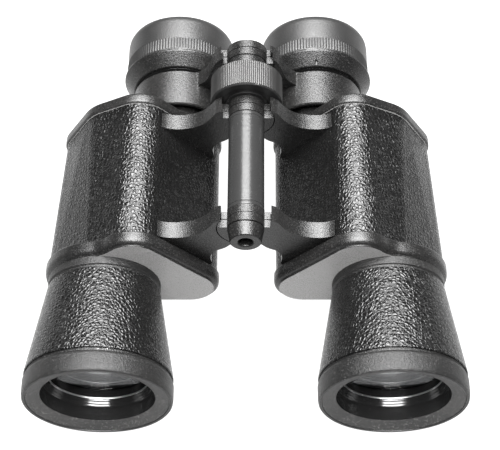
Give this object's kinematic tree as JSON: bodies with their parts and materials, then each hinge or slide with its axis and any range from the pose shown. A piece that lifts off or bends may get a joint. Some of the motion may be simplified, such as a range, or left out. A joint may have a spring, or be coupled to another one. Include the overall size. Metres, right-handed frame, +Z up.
{
  "type": "binoculars",
  "caption": "Porro prism binoculars with pebbled prism housings, folding centre hinge, knurled focusing wheel on a bridge, ribbed eyecups and flared objective barrels.",
  "frame": {"origin": "centre of the bounding box's base, on the surface that the objective rims rest on", "axes": "+X across the pair to its right, -Y the way the objectives look, +Z up, with the hinge on top"},
  "size_m": [0.1958, 0.1958, 0.0854],
  "materials": {
    "castings": "satin black enamel with a fine sand texture",
    "leatherette": "glossy black pebbled leatherette",
    "gloss_enamel": "semi-gloss dark enamel",
    "knurled_metal": "dark satin finish, worn bright at the edges of the knurl",
    "inner_black": "matt black anodised",
    "hard_rubber": "matt dark grey, moulded",
    "steel": "turned steel",
    "spring_brass": "plain brass",
    "optical_glass": "polished and coated"
  },
  "bodies": {
    "left_half": {"housing_left": "castings", "grip_cover_left": "leatherette", "front_plate_left": "castings", "rear_plate_left": "castings", "rear_screws_left": "steel", "strap_lug_left": "steel", "objective_barrel_left": "castings", "barrel_cover_left": "leatherette", "objective_cell_left": "inner_black", "retaining_ring_left": "inner_black", "objective_crown_left": "optical_glass", "objective_flint_left": "optical_glass", "prism_shelf_left": "inner_black", "front_prism_left": "optical_glass", "rear_prism_left": "optical_glass", "prism_clips_left": "spring_brass", "hinge_axle": "steel", "hinge_tube": "gloss_enamel", "hinge_washers": "spring_brass", "tripod_boss": "castings"},
    "right_half": {"housing_right": "castings", "grip_cover_right": "leatherette", "front_plate_right": "castings", "rear_plate_right": "castings", "rear_screws_right": "steel", "strap_lug_right": "steel", "objective_barrel_right": "castings", "barrel_cover_right": "leatherette", "objective_cell_right": "inner_black", "retaining_ring_right": "inner_black", "objective_crown_right": "optical_glass", "objective_flint_right": "optical_glass", "prism_shelf_right": "inner_black", "front_prism_right": "optical_glass", "rear_prism_right": "optical_glass", "prism_clips_right": "spring_brass"},
    "focus_wheel": {"focus_wheel": "knurled_metal", "focus_nut": "spring_brass"},
    "left_bridge": {"bridge_neck": "castings", "bridge_cap": "castings", "focus_spindle": "steel", "bridge_arm_left": "castings", "eyepiece_tube_left": "inner_black", "field_lens_left": "optical_glass", "ocular_left": "inner_black", "eye_lens_left": "optical_glass", "eyepiece_ring_left": "castings", "eyecup_left": "hard_rubber"},
    "right_bridge": {"bridge_arm_right": "castings", "eyepiece_tube_right": "inner_black", "field_lens_right": "optical_glass"},
    "right_ocular": {"ocular_right": "inner_black", "eye_lens_right": "optical_glass"},
    "diopter": {"diopter_ring_right": "castings", "eyecup_right": "hard_rubber"}
  },
  "joints": [
    {"name": "fold", "type": "hinge", "parent": "left_half", "child": "right_half", "pos_m": [0, 0, 0.0687], "axis": [0, 1, 0], "range_deg": [-14, 16]},
    {"name": "focus", "type": "slide", "parent": "left_half", "child": "left_bridge", "axis": [0, 1, 0], "range_m": [-0.0035, 0.006]},
    {"name": "focus_turn", "type": "hinge", "parent": "left_half", "child": "focus_wheel", "pos_m": [0, 0, 0.0687], "axis": [0, 1, 0], "range_deg": [-134, 230]},
    {"name": "bridge_fold", "type": "hinge", "parent": "left_bridge", "child": "right_bridge", "pos_m": [0, 0, 0.0687], "axis": [0, 1, 0], "range_deg": [-14, 16]},
    {"name": "diopter_slide", "type": "slide", "parent": "right_bridge", "child": "right_ocular", "axis": [0, 1, 0], "range_m": [-0.0012, 0.0012]},
    {"name": "diopter_turn", "type": "hinge", "parent": "right_ocular", "child": "diopter", "pos_m": [0.0334, 0, 0.0332], "axis": [0, 1, 0], "range_deg": [-150, 150]}
  ],
  "couplings": [
    {"joint": "focus_turn", "follows": "focus", "rad_per_m": 666.7},
    {"joint": "bridge_fold", "follows": "fold", "ratio": 1},
    {"joint": "diopter_slide", "follows": "diopter_turn", "m_per_rad": 0.000458}
  ]
}
